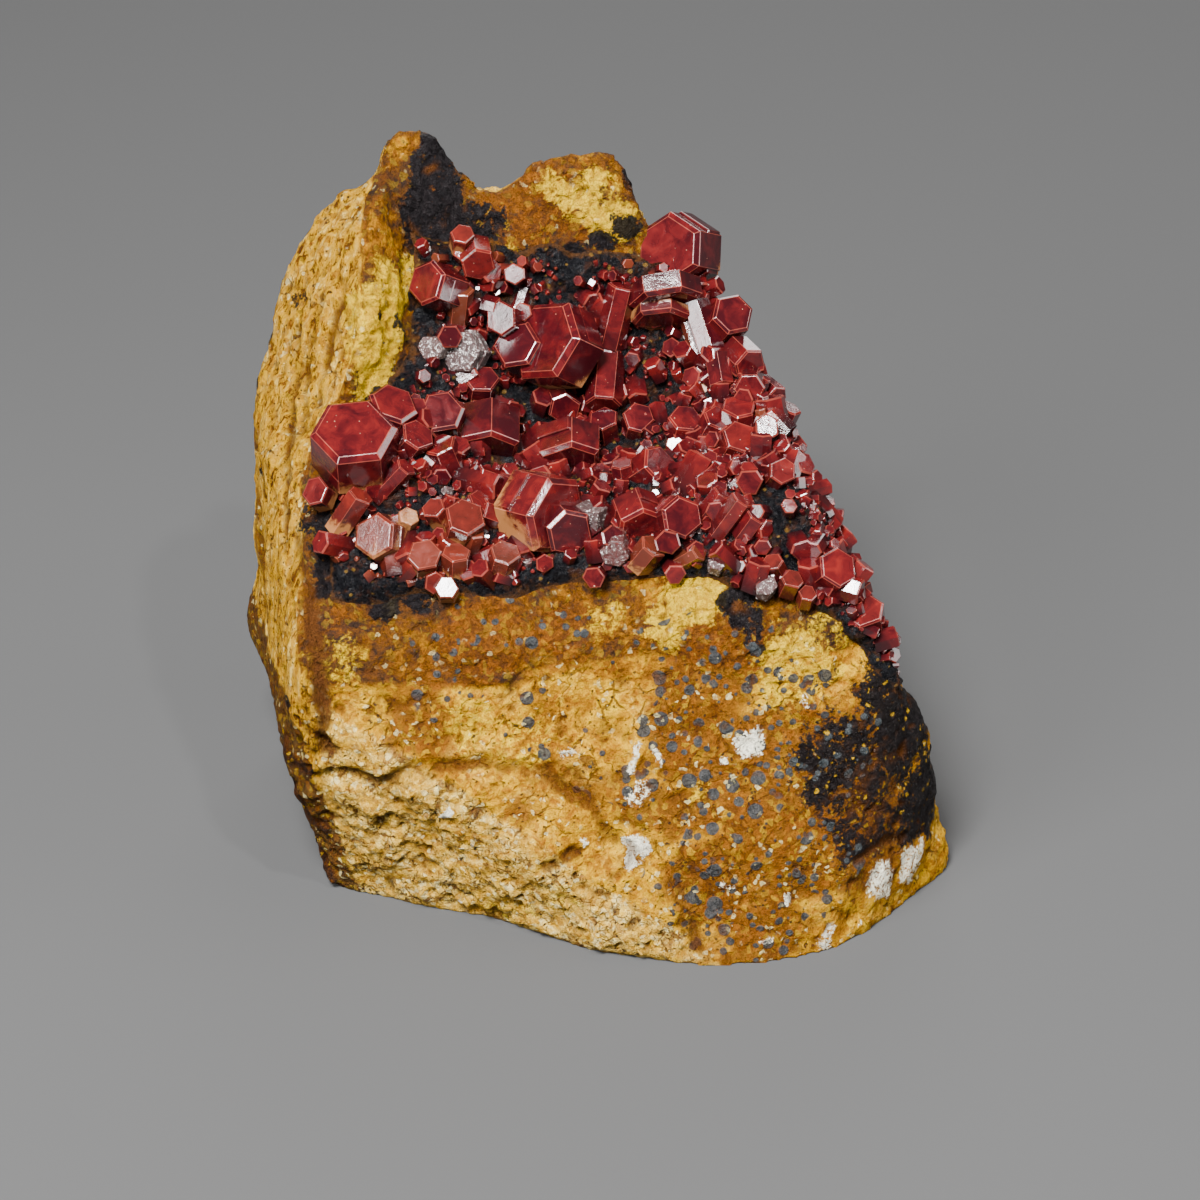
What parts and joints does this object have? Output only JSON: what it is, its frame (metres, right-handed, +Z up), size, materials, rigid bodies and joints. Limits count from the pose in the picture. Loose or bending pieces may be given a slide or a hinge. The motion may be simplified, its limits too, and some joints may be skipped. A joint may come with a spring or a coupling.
{
  "type": "vanadinite on matrix",
  "caption": "Mineral specimen: deep red hexagonal vanadinite crystals lining an open hollow in an ochre limonite block that stands on a flat underside.",
  "frame": {"origin": "a point in the middle of the block's flat underside", "axes": "+Z up, -Y towards the broken front face, +X to the right as seen from the front"},
  "size_m": [0.06, 0.0469, 0.0573],
  "materials": {
    "limonite": "rough, earthy ochre with dark iron oxide",
    "vanadinite": "glassy to resinous, translucent deep red",
    "vanadinite_druse": "glassy small crystals, brown red to red"
  },
  "bodies": {
    "root": {"matrix": "limonite", "front_crystal": "vanadinite", "big_upper_crystal": "vanadinite", "big_left_crystal": "vanadinite", "centre_crystal": "vanadinite", "left_block_crystal": "vanadinite", "top_right_crystal": "vanadinite", "stacked_plates": "vanadinite", "long_prism": "vanadinite", "lilac_prisms": "vanadinite", "paired_hexagons": "vanadinite", "rim_crystals": "vanadinite", "edge_crystals": "vanadinite", "druse": "vanadinite_druse"}
  },
  "joints": []
}
